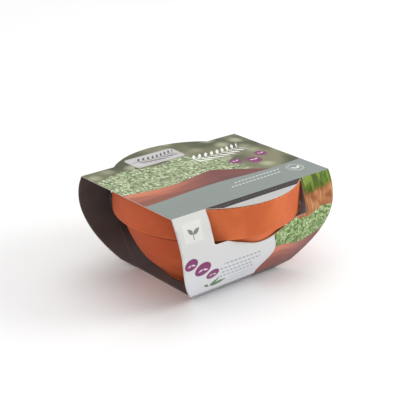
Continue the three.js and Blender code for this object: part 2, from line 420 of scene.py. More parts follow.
def quarter_outline(rows):
    """A quarter of the flat card, with the cut that frees the tab and leaves the window."""
    gap = 0.7
    top = [(u, 0.0) for u in np.linspace(0, SLEEVE_LENGTH / 2, 42)]
    end = [(float(half_length(row)), row) for row in rows if row > 0]
    low = [(u, GLUE_SEAM) for u in np.linspace(BASE_LENGTH / 2, 0, 24)[1:]]
    lowest = float(across_at_height(WINDOW_HANG[-1][1]))
    middle = [(0.0, row) for row in rows[::-1] if lowest + gap < row < GLUE_SEAM]
    start = math.acos(TOP_FOLD / TAB_RADIUS) - 0.003
    turns = np.linspace(start, 0, 36)
    tab = [(TAB_RADIUS * math.sin(turn), TAB_RADIUS * math.cos(turn)) for turn in turns]
    inner = [(0.0, row) for row in rows[::-1] if gap < row < TAB_RADIUS - gap]
    return top + end + low + middle + window_outline() + [(TAB_ROOT, TOP_FOLD)] + tab + inner


def inside(places, outline):
    """True for each place that lies within a closed outline."""
    x, y = places[:, 0][:, None], places[:, 1][:, None]
    start, end = outline, np.roll(outline, -1, axis=0)
    spans = (start[:, 1] > y) != (end[:, 1] > y)
    rise = np.where(end[:, 1] == start[:, 1], 1.0, end[:, 1] - start[:, 1])
    crossing = start[:, 0] + (y - start[:, 1]) * (end[:, 0] - start[:, 0]) / rise
    return (spans & (x < crossing)).sum(axis=1) % 2 == 1


def quarter_card():
    """Triangles of a quarter of the flat card, its points set in rows along the folds."""
    rows = card_rows()
    outline = np.array(quarter_outline(rows))
    ends = np.roll(outline, -1, axis=0)
    points = [tuple(p) for p in outline]
    columns = np.arange(CARD_STEP / 2, SLEEVE_LENGTH / 2, CARD_STEP)
    grid = np.array([(u, v) for v in rows for u in columns])
    run = ends - outline
    length = np.maximum((run**2).sum(1), 1e-9)
    gap = grid[:, None, :] - outline[None]
    share = np.clip((gap * run).sum(2) / length, 0, 1)
    near = np.linalg.norm(gap - share[..., None] * run, axis=2).min(axis=1)
    points += [tuple(p) for p in grid[(near > CARD_MARGIN) & inside(grid, outline)]]
    loop = [(i, (i + 1) % len(outline)) for i in range(len(outline))]
    made = delaunay_2d_cdt([Vector(p) for p in points], loop, [], 0, 1e-6, False)
    places = np.array([tuple(p) for p in made[0]])
    triangles = np.array([tuple(f) for f in made[2]])
    kept = inside(places[triangles].mean(axis=1), outline)
    return places, triangles[kept]


def lip_ends(rows):
    """For each row of a lip, its place on the window's edge and the place where it ends."""
    reach = LIP_RADIUS * np.array([math.sin(LIP_BEARING), -math.cos(LIP_BEARING)])
    ends = []
    for row in range(rows + 1):
        share = row / rows
        height = LIP_HINGE[0] + (LIP_HINGE[1] - LIP_HINGE[0]) * share
        x = window_edge(height) + LIP_INSET
        across = float(across_at_height(height))
        depth = np.interp(across, SECTION_ARC, SECTION_ROWS[:, 0])
        out = belly(np.array(height), x / half_length(np.array(across)))
        hinge = np.array([x, CARD / 2 - depth - out, height])
        climb = max((share - LIP_TOE_SHARE) / (1 - LIP_TOE_SHARE), 0)
        edge = np.array([*reach, LIP_EDGE[0] + (LIP_EDGE[1] - LIP_EDGE[0]) * climb])
        if share < LIP_TOE_SHARE:
            edge = edge + (np.array(LIP_TOE) - edge) * (1 - share / LIP_TOE_SHARE)
        ends.append((hinge, edge))
    return ends


def lip_grid(flip_x, flip_y):
    """One lip folded in from a side of a window, as a grid of points and flat places."""
    columns, rows = 6, 18
    ends = lip_ends(rows)
    points, flat = [], []
    for row, (hinge, edge) in enumerate(ends):
        above = ends[min(row + 1, rows)]
        below = ends[max(row - 1, 0)]
        for column in range(columns + 1):
            share = column / columns
            up_to = above[0] + (above[1] - above[0]) * share
            up_from = below[0] + (below[1] - below[0]) * share
            normal = np.cross(up_to - up_from, edge - hinge)
            normal /= np.linalg.norm(normal)
            spot = hinge + (edge - hinge) * share
            spot = spot + normal * (CARD / 2 - 4 * LIP_BOW * share * (1 - share))
            points.append((spot[0] * flip_x, spot[1] * flip_y, spot[2]))
            flat.append((share * LIP_PATCH[0], LIP_PATCH_START + row / rows * LIP_PATCH[1]))
    faces = grid_quads(columns, rows, turned=True)
    if flip_x * flip_y < 0:
        faces = [face[::-1] for face in faces]
    return points, flat, faces


def card_sleeve(materials):
    """The whole sleeve from one flat card: folded, given its thickness, its lips turned in."""
    flat, triangles = quarter_card()
    places, faces, corners = {}, [], []
    for mirror_u, mirror_v in ((1, 1), (-1, 1), (1, -1), (-1, -1)):
        for triangle in triangles:
            spots = [(flat[i][0] * mirror_u, flat[i][1] * mirror_v) for i in triangle]
            if mirror_u * mirror_v < 0:
                spots.reverse()
            face = []
            for u, v in spots:
                seam = v if abs(v) < GLUE_SEAM - 0.01 else GLUE_SEAM
                key = (round(u, 3) + 0.0, round(seam, 3) + 0.0)
                face.append(places.setdefault(key, len(places)))
            faces.append(tuple(face))
            corners += spots
    keys = np.array(list(places))
    points = [tuple(p) for p in fold_card(keys[:, 0], keys[:, 1])]
    for flip_x in (1, -1):
        for flip_y in (1, -1):
            spots, flat_spots, lip_faces = lip_grid(flip_x, flip_y)
            first = len(points)
            points += spots
            for face in lip_faces:
                faces.append(tuple(first + i for i in face))
                corners += [flat_spots[i] for i in face]
    sleeve = make_piece("printed_sleeve", points, faces, materials, corners)
    thickness = sleeve.modifiers.new("card thickness", "SOLIDIFY")
    thickness.thickness = CARD * MM
    thickness.offset = -1
    thickness.use_even_offset = True
    thickness.material_offset = 1
    thickness.material_offset_rim = 2
    return sleeve


# Turned and soft pieces


def lathe(name, profile, segments, material):
    """Turns a profile of radius and height about the upright axis, its ends closed."""
    points, faces, rings = [], [], []
    for radius, height in profile:
        if radius < 1e-6:
            rings.append([len(points)] * segments)
            points.append((0.0, 0.0, height))
            continue
        rings.append(list(range(len(points), len(points) + segments)))
        for i in range(segments):
            angle = 2 * math.pi * i / segments
            points.append((radius * math.cos(angle), radius * math.sin(angle), height))
    for low, high in zip(rings, rings[1:]):
        for i in range(segments):
            j = (i + 1) % segments
            corners = [low[i], low[j], high[j], high[i]]
            face = tuple(dict.fromkeys(corners))
            if len(face) > 2:
                faces.append(face)
    return make_piece(name, points, faces, [material])


def offset_in(points, distance):
    """The line that runs a distance to the left of a profile."""
    points = np.array(points, float)
    run = np.gradient(points, axis=0)
    run /= np.linalg.norm(run, axis=1)[:, None]
    return points + distance * np.stack([-run[:, 1], run[:, 0]], axis=1)


def between(start, end, count):
    """Evenly spaced points from start up to, but not including, end."""
    start, end = np.array(start), np.array(end)
    return [tuple(start + (end - start) * i / count) for i in range(count)]


def rounded(centre, radius, start, end, count):
    """Points along an arc between two angles in degrees."""
    turns = np.radians(np.linspace(start, end, count))
    return [(centre[0] + radius * math.cos(t), centre[1] + radius * math.sin(t)) for t in turns]


def rim_band():
    """The band's outside: a bead along its lower edge, a fine line and a slight lean outwards."""
    points = []
    for height in np.linspace(*BAND_HEIGHTS, 60):
        bead = BEAD_DEPTH * (1 - smooth(height, *BEAD_FADE))
        lean = BAND_LEAN * (height - STEP_HEIGHT)
        line = BAND_LINE_DEPTH * bell(height, *BAND_LINE)
        points.append((BAND_RADIUS + bead + lean - line, height))
    return points


def bowl_profile():
    """From the underside's middle, up the outside, over the rim and down to the inside's middle."""
    recess = FOOT_BOTTOM + FOOT_RECESS
    profile = between((0, recess), (RECESS_RADIUS, recess), 12)
    profile += rounded((RECESS_RADIUS, recess - 0.8), 0.8, 90, 20, 5)
    profile += rounded((FOOT_RING[0], FOOT_BOTTOM + 0.6), 0.6, 200, 270, 5)
    profile += rounded((FOOT_RING[1], FOOT_BOTTOM + 0.7), 0.7, 270, 325, 6)
    body = []
    for radius, height in bow_points(BODY_BOW, 150):
        body.append((radius - BODY_LINE_DEPTH * bell(height, *BODY_LINE), height))
    profile += between(FLARE_START, body[0], 12) + body + between(*BAND_UNDERSIDE, 6)
    band_edge = (BAND_UNDERSIDE[1][0], BAND_UNDERSIDE[1][1] + BAND_ROUND)
    profile += rounded(band_edge, BAND_ROUND, 270, 360, 8) + rim_band()
    outer, inner = RIM_ROUNDS
    band_inner = RIM_RADIUS - WALL
    profile += rounded((RIM_RADIUS - outer, RIM_TOP - outer), outer, 10, 90, 8)
    profile += rounded((band_inner + inner, RIM_TOP - inner), inner, 90, 170, 6)
    profile += between((band_inner, RIM_TOP - 1.6), (band_inner - 0.2, STEP_HEIGHT + 2.6), 24)
    profile += rounded((band_inner - 1.2, STEP_HEIGHT + 2.4), 1.0, 0, -80, 6)
    for radius, height in offset_in(bow_points(BODY_BOW, 60), WALL)[::-1]:
        if FLOOR_HEIGHT + 1.0 < height < STEP_HEIGHT + 0.6:
            profile.append((radius, height))
    profile += between((FLOOR_RADIUS + 2.4, FLOOR_HEIGHT + 0.25), (FLOOR_RADIUS, FLOOR_HEIGHT), 3)
    profile += between((FLOOR_RADIUS - 0.6, FLOOR_HEIGHT), (0, FLOOR_HEIGHT), 14)
    return profile + [(0, FLOOR_HEIGHT)]


class Rule(Nodes):
    """A Geometry Nodes tree that adds a detail to a piece, with its sizes as named inputs."""

    def __init__(self, name, sizes):
        super().__init__(bpy.data.node_groups.new(name, "GeometryNodeTree"))
        self.sizes = sizes
        sockets = self.tree.interface
        sockets.new_socket("Geometry", in_out="INPUT", socket_type="NodeSocketGeometry")
        sockets.new_socket("Geometry", in_out="OUTPUT", socket_type="NodeSocketGeometry")
        for label, value in sizes.items():
            kind = "NodeSocketInt" if isinstance(value, int) else "NodeSocketFloat"
            sockets.new_socket(label, in_out="INPUT", socket_type=kind)
        self.start = self.tree.nodes.new("NodeGroupInput")
        self.end = self.tree.nodes.new("NodeGroupOutput")

    def given(self, label):
        return Field(self, self.start.outputs[label])

    def place(self):
        return self.split(self.add("GeometryNodeInputPosition").outputs[0])

    def compare(self, first, operation, second):
        node = self.add("FunctionNodeCompare", {0: first, 1: second}, operation=operation)
        return node.outputs[0]

    def move(self, selection, offset):
        """The given mesh with its selected points moved."""
        inputs = {"Geometry": self.given("Geometry"), "Selection": selection, "Offset": offset}
        return self.add("GeometryNodeSetPosition", inputs).outputs[0]

    def close(self, geometry, material):
        """Ends the tree in plain mesh with its material set."""
        real = self.add("GeometryNodeRealizeInstances", {0: geometry}).outputs[0]
        coat = self.add("GeometryNodeSetMaterial", {0: real, "Material": material}).outputs[0]
        self.plug(self.end.inputs[0], coat)

    def apply(self, piece):
        """Runs the tree on a piece with its sizes and keeps the result as a plain mesh."""
        modifier = piece.modifiers.new(self.tree.name, "NODES")
        modifier.node_group = self.tree
        for item in self.tree.interface.items_tree:
            if item.in_out == "INPUT" and item.name in self.sizes:
                modifier[item.identifier] = self.sizes[item.name]
        graph = bpy.context.evaluated_depsgraph_get()
        made = bpy.data.meshes.new_from_object(piece.evaluated_get(graph), depsgraph=graph)
        piece.modifiers.clear()
        old = piece.data
        piece.data = made
        bpy.data.meshes.remove(old)
        made.name = piece.name


def turned_rings(material):
    """Fine uneven rings round the bowl's body, pressed in or raised along the surface normal."""
    sizes = {"Ring depth": 0.30 * MM, "Ring spacing": 1.5 * MM, "Below": 62.5 * MM}
    rule = Rule("turned rings", sizes)
    x, y, z = rule.place()
    at = rule.vector(x * 9.0, y * 9.0, z / rule.given("Ring spacing"))
    depth = (rule.noise(at, 1.0, 2.0) - 0.62) * rule.given("Ring depth")
    normal = rule.add("GeometryNodeInputNormal").outputs[0]
    push = rule.add("VectorMath", {0: normal, "Scale": depth}, operation="SCALE").outputs[0]
    on_body = rule.compare(z, "LESS_THAN", rule.given("Below"))
    rule.close(rule.move(on_body, push), material)
    return rule


def growing_bowl(material):
    bowl = lathe("growing_bowl_shell", bowl_profile(), 240, material)
    turned_rings(material).apply(bowl)
    bowl.data.shade_smooth()
    return bowl


def bowed_fibre(rule):
    """One short fibre with a three-sided section, bowed sideways in the middle."""
    half = rule.given("Fibre length") * 0.5
    less = rule.given("Fibre length") * -0.5
    ends = {"Start": rule.vector(less), "Middle": rule.vector(0.0, half), "End": rule.vector(half)}
    curve = rule.add("GeometryNodeCurveQuadraticBezier", {"Resolution": 4, **ends}).outputs[0]
    section = {"Resolution": 3, "Radius": rule.given("Fibre radius")}
    section = rule.add("GeometryNodeCurvePrimitiveCircle", section).outputs[0]
    tube = {"Curve": curve, "Profile Curve": section}
    return rule.add("GeometryNodeCurveToMesh", tube).outputs[0]


def loose_fibres(material):
    """Short fibres lying every way over the disc."""
    sizes = {
        "Fibres a square metre": 42000.0,
        "Fibre length": 5.0 * MM,
        "Fibre radius": 0.09 * MM,
        "Seed": 3,
    }
    rule = Rule("loose fibres", sizes)
    disc = rule.given("Geometry")
    seed = rule.given("Seed")
    spread = {"Mesh": disc, "Density": rule.given("Fibres a square metre"), "Seed": seed}
    spread = rule.add("GeometryNodeDistributePointsOnFaces", spread).outputs
    full_turn = (0.0, 0.0, 6.283)
    turn = {"Min": (0.0, 0.0, 0.0), "Max": full_turn, "Seed": seed}
    turn = rule.add("FunctionNodeRandomValue", turn, data_type="FLOAT_VECTOR").outputs[0]
    twist = {"Rotation": spread["Rotation"], "Rotate By": turn}
    twist = rule.add("FunctionNodeRotateEuler", twist, space="LOCAL").outputs[0]
    size = rule.add("FunctionNodeRandomValue", {2: 0.4, 3: 1.0}, data_type="FLOAT").outputs[1]
    placed = {"Points": spread["Points"], "Instance": bowed_fibre(rule), "Rotation": twist, "Scale": size}
    placed = rule.add("GeometryNodeInstanceOnPoints", placed).outputs[0]
    both = rule.add("GeometryNodeJoinGeometry")
    rule.plug(both.inputs[0], placed)
    rule.plug(both.inputs[0], disc)
    rule.close(both.outputs[0], material)
    return rule


def crumble(mesh, random):
    """Pushes a mesh's points in and out along its normals, in shallow uneven pits."""
    count = len(mesh.vertices)
    place = np.empty(count * 3)
    mesh.vertices.foreach_get("co", place)
    place = place.reshape(-1, 3) / MM
    shift = np.zeros(count)
    for size, depth in DISC_PITS:
        for _ in range(6):
            wave = random.normal(size=3) * 2 * math.pi / size / 1.7
            shift += depth * np.sin(place @ wave + random.uniform(0, 6.28)) / 2.4
    normals = np.empty(count * 3)
    mesh.vertices.foreach_get("normal", normals)
    place = place + normals.reshape(-1, 3) * np.minimum(shift, DEEPEST_PIT)[:, None]
    mesh.vertices.foreach_set("co", (place * MM).ravel())


def coir_disc(material):
    """The pressed disc: a crumbly edge, shallow pits and loose fibres on its faces."""
    bottom = 0.2
    edge = DISC_RADIUS - 0.5
    top = DISC_HEIGHT - 0.5
    flat = edge - DISC_ROUND
    profile = between((0, bottom), (flat, bottom), 14)
    profile += rounded((flat, bottom + DISC_ROUND), DISC_ROUND, 270, 360, 6)
    profile += between((edge, 2.2), (edge, top - 2.0), 20)
    profile += rounded((flat, top - DISC_ROUND), DISC_ROUND, 0, 90, 6)
    profile += between((edge - 2, top), (0, top), 26) + [(0, top)]
    disc = lathe("pressed_coir_disc", [(r, z + DISC_BASE) for r, z in profile], 160, material)
    crumble(disc.data, np.random.default_rng(7))
    loose_fibres(material).apply(disc)
    return disc


def crimped_seams(material):
    """Fine ribs pressed along the sachet's two sealed ends."""
    sizes = {
        "Rib spacing": 1.5 * MM,
        "Rib depth": 0.1 * MM,
        "Half length": SACHET_SIZE[0] / 2 * MM,
        "Seam width": 4.6 * MM,
    }
    rule = Rule("crimped seams", sizes)
    away = rule.place()[0].size()
    inner = rule.given("Half length") - rule.given("Seam width")
    turn = away / rule.given("Rib spacing") * (2 * math.pi)
    rib = turn.sum("SINE") * rule.given("Rib depth")
    on_seam = rule.compare(away, "GREATER_THAN", inner)
    rule.close(rule.move(on_seam, rule.vector(z=rib)), material)
    return rule


def pillow_rise(x, y):
    """How far the sachet's upper paper stands up: over the seeds, puckered along the seams."""
    inner = [side / 2 - SACHET_SEAM_WIDTH for side in SACHET_SIZE]
    room = max(1 - (x / inner[0]) ** 2, 0) * max(1 - (y / inner[1]) ** 2, 0)
    if room == 0:
        return 0.0
    ends = 0.16 * math.sin(y * 0.9 + 0.4 * math.sin(y * 0.31)) * bell(abs(x), *END_PUCKER)
    sides = 0.14 * math.sin(x * 0.8) * bell(abs(y), *SIDE_PUCKER)
    seeds = 0.05 * math.sin(x * 2.9 + 1.3 * math.sin(y * 1.7)) * math.sin(y * 3.1) * min(room * 3, 1)
    return max((SACHET_FILL - 0.45) * math.sqrt(room) + (ends + sides + seeds), 0)


def seed_sachet(material):
    """A paper pillow with sealed, ribbed ends, puckered where the paper meets the seams."""
    length, width = SACHET_SIZE
    inset = 0.4
    columns, rows = 150, 70
    upper, lower = [], []
    for row in range(rows + 1):
        for column in range(columns + 1):
            x = (column / columns - 0.5) * (length - inset)
            y = (row / rows - 0.5) * (width - inset)
            upper.append((x, y, SACHET_BASE + (SACHET_SEAM * 0.72 + pillow_rise(x, y))))
            lower.append((x, y, SACHET_BASE + SACHET_SEAM * 0.34))
    sheet = len(upper)
    faces = []
    for quad in grid_quads(columns, rows):
        faces.append(quad)
        faces.append(tuple(sheet + corner for corner in quad[::-1]))
    row_step = columns + 1
    rim = list(range(row_step))
    rim += [row * row_step + columns for row in range(1, rows + 1)]
    rim += [rows * row_step + column for column in range(columns - 1, -1, -1)]
    rim += [row * row_step for row in range(rows - 1, 0, -1)]
    for a, b in zip(rim, rim[1:] + rim[:1]):
        faces.append((b, a, sheet + a, sheet + b))
    sachet = make_piece("paper_seed_sachet", upper + lower, faces, [material])
    crimped_seams(material).apply(sachet)
    return sachet


# Materials


def ink(colour):
    """Screen values of a colour as light values; a socket stays as it is."""
    if isinstance(colour, bpy.types.NodeSocket):
        return colour
    parts = [c / 255 for c in colour]
    return (*[c / 12.92 if c <= 0.04045 else ((c + 0.055) / 1.055) ** 2.4 for c in parts], 1.0)


class Surface(Nodes):
    """One material and the nodes that give it its detail."""

    def __init__(self, name, roughness, specular=0.5):
        self.material = bpy.data.materials.new(name)
        self.material.use_nodes = True
        super().__init__(self.material.node_tree)
        self.shader = self.tree.nodes["Principled BSDF"]
        self.shader.inputs["Roughness"].default_value = roughness
        self.shader.inputs["Specular IOR Level"].default_value = specular

    def object_place(self):
        """Object coordinates in millimetres."""
        return self.move(self.add("TexCoord").outputs["Object"], (1 / MM,) * 3)

    def flat_place(self):
        """Places on the flat card in millimetres, from the top panel's middle."""
        return self.move(self.add("UVMap", uv_map="flat_card").outputs[0], (1 / MM,) * 3)

    def move(self, vector, scale, shift=(0.0, 0.0, 0.0)):
        inputs = {0: vector, 1: scale, 2: shift}
        return self.add("VectorMath", inputs, operation="MULTIPLY_ADD").outputs[0]

    def turn(self, vector, angle):
        inputs = {"Vector": vector, "Angle": angle}
        return self.add("VectorRotate", inputs, rotation_type="Z_AXIS").outputs[0]

    def cells(self, vector, scale, uneven):
        """Loose cells: where their middles lie, how far they are, and their random colours."""
        inputs = {"Vector": vector, "Scale": scale, "Randomness": uneven}
        return self.add("TexVoronoi", inputs, voronoi_dimensions="2D").outputs

    def blend(self, under, over, share):
        """Two colours mixed by the share of the second."""
        node = self.add("Mix", data_type="RGBA")
        for place, value in ((0, share), (6, ink(under)), (7, ink(over))):
            self.plug(node.inputs[place], value)
        return node.outputs[2]

    def paint(self, colour, *coats):
        """Lays coats on a colour, each with the share of it that it covers."""
        for over, share in coats:
            colour = self.blend(colour, over, share)
        return colour

    def colour(self, value):
        self.plug(self.shader.inputs["Base Color"], value)

    def roughness(self, value):
        self.plug(self.shader.inputs["Roughness"], value)

    def relief(self, height, depth):
        inputs = {"Height": height, "Distance": depth * MM, "Strength": 1.0}
        self.plug(self.shader.inputs["Normal"], self.add("Bump", inputs).outputs[0])


def strewn_leaves(card, at, ground, cell, shift, deep, pale, bare):
    """Prints leaves over a ground, one to a cell of a loose pattern; a bare share has none."""
    spot = card.move(at, (1 / cell,) * 3, (shift, shift * 0.7, 0.0))
    cells = card.cells(spot, 1.0, 0.9)
    away = {0: spot, 1: cells["Position"]}
    away = card.add("VectorMath", away, operation="SUBTRACT").outputs[0]
    turn, tone, chance = card.split(cells["Color"])
    x, y, _ = card.split(card.turn(away, turn * 6.283))
    along = x * 2.0
    edge = (1.0 - along * along) * (0.25 - along * 0.09) - y.size()
    kept = chance.ramp(bare, bare + 0.02)
    leaf = card.blend(deep, pale, tone * 0.8 + y.ramp(-0.03, 0.03) * 0.3)
    leaf = card.blend(leaf, (236, 240, 214), y.size().ramp(0.03, 0.008) * 0.5)
    shadow = edge.ramp(-0.12, 0.03) * kept * 0.5
    return card.paint(ground, ((52, 60, 34), shadow), (leaf, edge.ramp(0.0, 0.03) * kept))


def leaf_bed(card, at):
    """A thick bed of small leaves over dark stems."""
    stems = card.noise(card.move(at, (0.9, 0.13, 0.0)), 1.0, 2.0)
    bed = card.blend((66, 76, 44), (150, 164, 110), stems.ramp(0.50, 0.62))
    for layer in LEAF_LAYERS:
        bed = strewn_leaves(card, at, bed, *layer)
    drift = card.noise(card.move(at, (0.06, 0.11, 0.0)), 1.0, 2.0)
    dark = ((84, 104, 52), drift.ramp(0.52, 0.36) * 0.5)
    pale = ((206, 212, 176), drift.ramp(0.54, 0.7) * 0.35)
    return card.paint(bed, dark, pale)


def blurred_garden(card, at):
    """An out-of-focus ground: soft green-grey patches with pale round blurs."""
    patches = card.noise(at, 0.022, 2.0)
    ground = card.blend((72, 76, 52), (128, 126, 98), patches.ramp(0.34, 0.66))
    blurs = card.cells(at, 0.05, 1.0)
    chance = card.split(blurs["Color"])[0]
    disc = Field(card, blurs["Distance"]).ramp(0.52, 0.04)
    return card.blend(ground, (178, 182, 150), disc * chance.ramp(0.3, 0.9) * 0.75)


def clay_waves(card, x, depth, warm, plum, fade):
    """Three overlapping waves of clay colour; depth is how far under the first crest it is."""
    second = (depth - 10.0 - x.wave(63.0, 1.1) * 2.2).ramp(-0.4, 0.4)
    third = (depth - 18.0 - x.wave(88.0, 2.4) * 2.6).ramp(-0.4, 0.4)
    return card.paint(
        warm,
        (plum, fade),
        ((214, 142, 112), depth.within(0.6, 6.5, 0.5) * (1.0 - fade) * 0.35),
        ((120, 70, 62), second * 0.42),
        ((92, 56, 60), third * 0.42),
    )


def away_from(card, x, y, centre):
    """How far a point lies from a centre."""
    return card.length(card.vector(x - centre[0], y - centre[1]))


def printed_leaf(card, x, y, root, bearing, length, width):
    """1 inside one leaf that grows from its root."""
    off = card.turn(card.vector(x - root[0], y - root[1]), -bearing)
    along, side, _ = card.split(off)
    share = along * (2 / length) - 1.0
    half = (1.0 - share * share) * (1.0 - share.least(1.0) * 0.35) * (width / 2)
    return (half - side.size()).ramp(0.0, 0.2)


def seed_row(x, y, height, start, stop, spacing, half):
    """A printed row of slanting seeds."""
    lean = x - (y - height) * 0.5
    side = lean.zigzag(spacing / 2) * (1 / half[0])
    tall = (y - height) * (1 / half[1])
    return (side * side + tall * tall).ramp(1.15, 0.85) * lean.within(start, stop, 0.1)


def garland(x, y, height, start, stop, spacing, leaf):
    """A printed stem with leaves on both sides; leaf is half a leaf's width and half its length."""
    off = (y - height - x.wave(stop - start) * 1.2).size()
    lean = x - off * 0.7
    side = lean.zigzag(spacing / 2)
    share = (off - leaf[1] - 0.4) * (1 / leaf[1])
    inside_leaf = (1.0 - share * share) * leaf[0] - side
    leaves = inside_leaf.ramp(0.0, 0.25) * lean.within(start, stop, 0.1)
    return leaves.most(off.ramp(0.55, 0.35) * x.within(start - 3.0, stop, 0.3))


def plum_spots(card, ground, x, y, spots):
    """Plum discs, each with two pale leaves that grow from its middle."""
    for centre, radius in spots:
        disc = away_from(card, x, y, centre).ramp(radius + 0.15, radius - 0.15)
        ground = card.blend(ground, (128, 58, 104), disc)
        for bearing, length in ((0.35, 0.8), (2.6, 0.65)):
            leaf = printed_leaf(card, x, y, centre, bearing, radius * length, radius * 0.28)
            ground = card.blend(ground, (226, 210, 222), leaf)
    return ground


def rounded_panel(x, y, centre, half, corner):
    """How far a point lies inside a panel with rounded corners, in millimetres."""
    out_x = ((x - centre[0]).size() - (half[0] - corner)).most(0.0)
    out_y = ((y - centre[1]).size() - (half[1] - corner)).most(0.0)
    return corner - (out_x * out_x + out_y * out_y).sum("SQRT")


def past_border(v):
    """1 on the lips' patch of the flat map, 0 on the card itself."""
    return v.ramp(LIP_PATCH_BORDER - 1.0, LIP_PATCH_BORDER + 1.0)


def top_picture(card, at, x, y, leaves):
    """The top's picture: a blurred garden, a drift of leaves, clay waves and a grey-green band."""
    right = (x - 8.0).most(0.0)
    crest = x.wave(74.0, 0.2) * 3.0 - right * 0.95 + 45.0
    ragged = card.noise(at, 0.16, 2.0) * 7.0 - 3.5
    bed = (crest + ragged - y).ramp(-0.6, 0.6) * (x + ragged).ramp(46.0, 30.0)
    depth = x.wave(118.0, 0.9) * 3.4 - right * 0.62 - 1.0 - y
    band = (x.wave(150.0, 2.2) * 2.2 - 27.0 - y).ramp(-0.2, 0.2)
    return card.paint(
        blurred_garden(card, at),
        (card.blend(leaves, (198, 202, 186), 0.16), bed),
        (
            clay_waves(card, x, depth, (190, 110, 80), (118, 66, 64), x.ramp(-80.0, 10.0)),
            depth.ramp(-0.35, 0.35),
        ),
        ((134, 142, 138), band),
    )


def top_print(card, at, leaves):
    """The top panel and the back tab: the picture, seeds, a ring, a garland, spots and a tag."""
    white = (224, 226, 222)
    x, y, _ = card.split(at)
    picture = top_picture(card, at, x, y, leaves)
    for height, start, stop in TOP_SEED_ROWS:
        seeds = seed_row(x, y, height, start, stop, 4.2, (1.7, 0.95))
        picture = card.blend(picture, (214, 218, 214), seeds * 0.75)
    away = away_from(card, x, y, RING_MIDDLE)
    ring, inner_ring = [away.within(radius - 0.2, radius + 0.2, 0.12) for radius in RING_RADII]
    picture = card.blend(picture, white, ring.most(inner_ring * 0.7))
    for root, bearing, length in RING_LEAVES:
        picture = card.blend(picture, white, printed_leaf(card, x, y, root, bearing, length, 3.0))
    sprig = garland(x, y, 31.0, 9.0, 66.0, 6.6, (1.9, 5.0))
    picture = card.blend(picture, (232, 232, 226), sprig)
    picture = plum_spots(card, picture, x, y, TOP_SPOTS)
    tag = rounded_panel(x, y, TAB_TAG, (28, 12), 4.5)
    return card.paint(
        picture,
        ((196, 192, 192), tag.ramp(-0.15, 0.15)),
        ((150, 146, 146), tag.within(1.3, 1.7, 0.12) * 0.7),
        ((92, 88, 90), garland(x, y, TAB_TAG[1], -34.0, 10.0, 5.0, (1.5, 3.7))),
    )


def side_ground(card, at, x, arc):
    """The pale part of a side panel: a tag with a sprout, seeds, rules, spots and leaves, with painted
    light that makes it paler towards the bottom.
    """
    grey = (124, 124, 122)
    tag = rounded_panel(x, arc, TAG_MIDDLE, (10.5, 9.5), 1.2)
    ground = card.paint(
        (199, 199, 196),
        ((205, 205, 202), card.noise(at, 0.012, 1.0)),
        # painted light: paler towards the bottom, where the panel leans into shade
        ((220, 222, 228), arc.ramp(10.0, 90.0) * 0.9),
        ((212, 212, 209), tag.ramp(-0.1, 0.1)),
        ((168, 170, 168), tag.within(0.5, 0.9, 0.12) * 0.5),
    )
    for bearing, length in ((-0.55, 8.6), (-2.35, 7.6)):
        leaf = printed_leaf(card, x, arc, SPROUT_ROOT, bearing, length, 3.8)
        ground = card.blend(ground, grey, leaf)
    stem = (x - SPROUT_ROOT[0]).size().ramp(0.5, 0.3) * arc.within(17.0, 21.5, 0.2)
    ground = card.blend(ground, grey, stem)
    for height, start, stop in SIDE_SEED_ROWS:
        seeds = seed_row(x, arc, height, start, stop, 4.4, (1.7, 1.15))
        ground = card.blend(ground, (140, 148, 158), seeds * 0.8)
    for height, start, stop in SIDE_RULES:
        rule = (arc - height).size().ramp(0.5, 0.3) * x.within(start, stop, 0.3)
        ground = card.blend(ground, (150, 158, 166), rule * 0.7)
    ground = plum_spots(card, ground, x, arc, SIDE_SPOTS)
    for root, bearing, size in SIDE_LEAVES:
        leaf = printed_leaf(card, x, arc, root, bearing, size, size * 0.34)
        ground = card.blend(ground, (92, 124, 78), leaf)
    return ground


def side_picture(card, at, x, arc, leaves):
    """The picture on a side panel: grass, earth with straws, fresh leaves and clay waves."""
    blades = card.noise(card.move(at, (0.34, 0.07, 0.0)), 1.0, 3.0)
    clumps = card.noise(card.move(at, (0.09, 0.07, 0.0), (3.0, 8.0, 0.0)), 1.0, 2.0)
    grass = card.paint(
        (54, 80, 4),
        ((112, 138, 16), blades.ramp(0.34, 0.68)),
        ((60, 76, 8), clumps.ramp(0.52, 0.36) * 0.65),
        ((134, 152, 64), clumps.ramp(0.56, 0.7) * 0.5),
    )
    soil = card.noise(at, 0.06, 2.0)
    straws = card.noise(card.move(at, (0.5, 0.08, 0.0)), 1.0, 3.0)
    earth = card.paint(
        (136, 80, 44),
        ((188, 126, 78), soil.ramp(0.35, 0.65)),
        ((206, 168, 134), straws.ramp(0.56, 0.66) * 0.6),
        ((104, 62, 42), straws.ramp(0.42, 0.34) * 0.6),
    )
    fresh = card.blend(leaves, (104, 160, 62), 0.22)
    crest = x.wave(46.0, 0.7) * 2.4 + card.noise(at, 0.16, 2.0) * 7.0 + 29.0
    depth = arc - 60.0 - x.wave(57.0, 2.0) * 3.0
    clay = clay_waves(card, x, depth, (194, 114, 90), (120, 76, 80), x.ramp(20.0, 80.0))
    return card.paint(
        grass,
        (earth, (arc + soil * 14.0).ramp(16.0, 24.0)),
        (fresh, (arc - crest).ramp(-0.6, 0.6)),
        (clay, depth.ramp(-0.35, 0.35)),
    )


def side_print(card, at, x, across, leaves):
    """The front and back panels: the pale ground at the left, the picture at the right."""
    arc = across - TOP_FOLD
    ground = side_ground(card, at, x, arc)
    picture = side_picture(card, at, x, arc, leaves)
    edge = x - (arc.wave(52.0, 0.4) * 4.0 + 17.0)
    return card.blend(ground, picture, edge.ramp(-0.2, 0.2))


